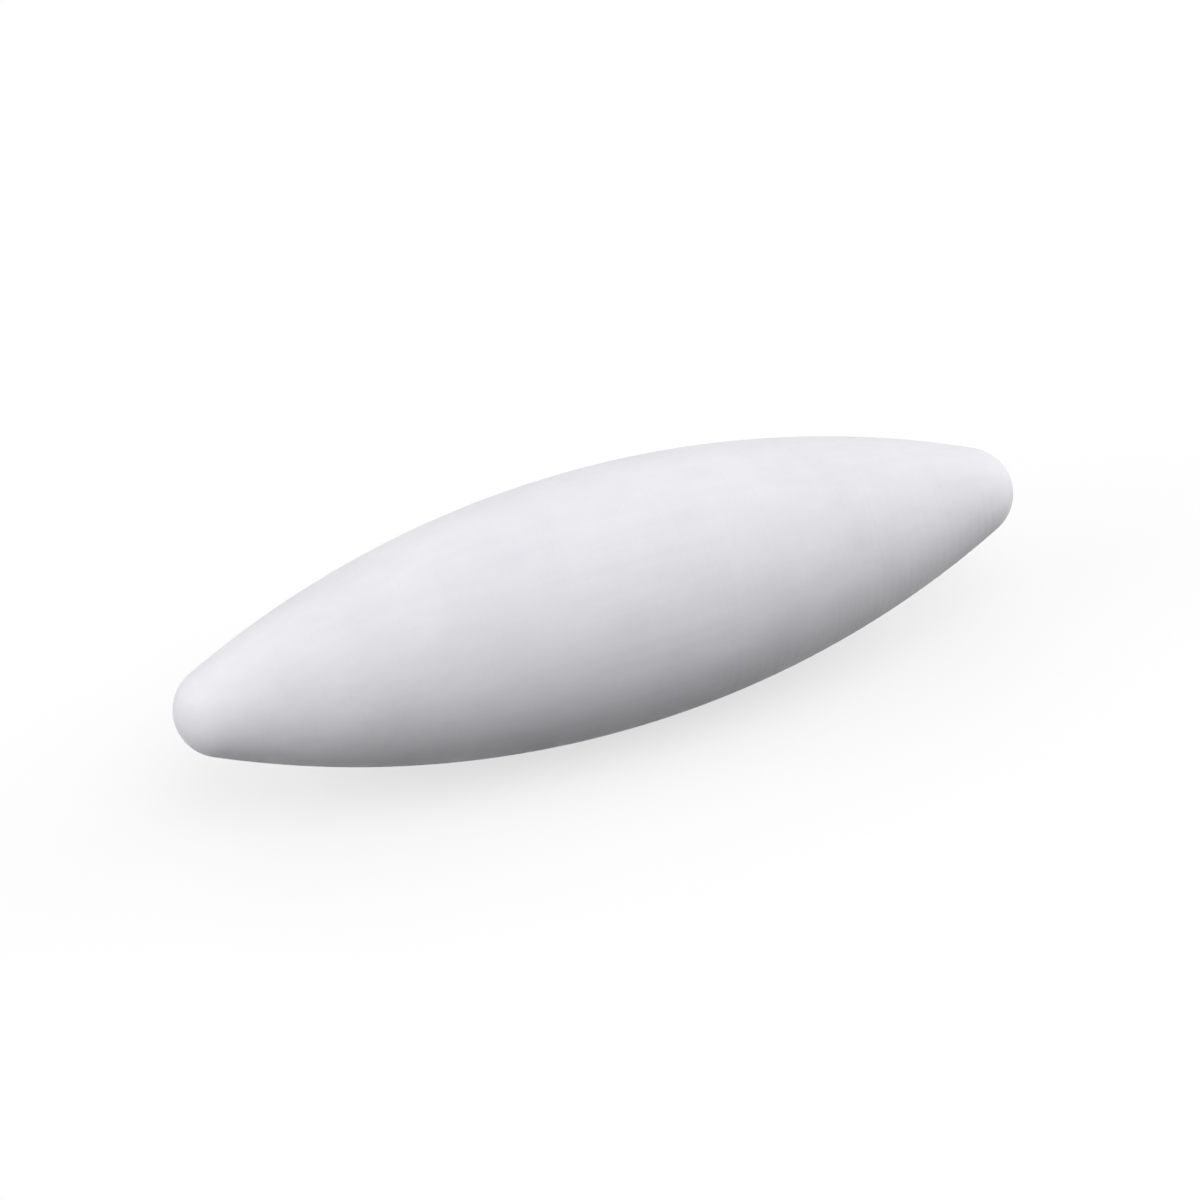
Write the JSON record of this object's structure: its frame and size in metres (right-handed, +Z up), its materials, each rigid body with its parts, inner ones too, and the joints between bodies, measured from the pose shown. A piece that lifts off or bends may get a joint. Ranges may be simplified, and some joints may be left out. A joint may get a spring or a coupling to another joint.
{
  "type": "magnetic stir bar",
  "caption": "Oval magnetic stir bar: a bar magnet sealed in a smooth white spindle-shaped PTFE jacket, spun on its belly by a rotating magnet under the vessel.",
  "frame": {"origin": "the lowest point of the belly at the middle of the bar, where it touches the vessel's floor and spins", "axes": "+X along the bar from tip to tip, +Z up, along the axis about which the bar spins when it stirs"},
  "size_m": [0.052, 0.0152, 0.0152],
  "materials": {
    "ptfe": "smooth satin cool white, faintly translucent",
    "magnet": "cast and ground AlNiCo, dull grey"
  },
  "bodies": {
    "root": {"jacket": "ptfe", "bar_magnet": "magnet"}
  },
  "joints": []
}
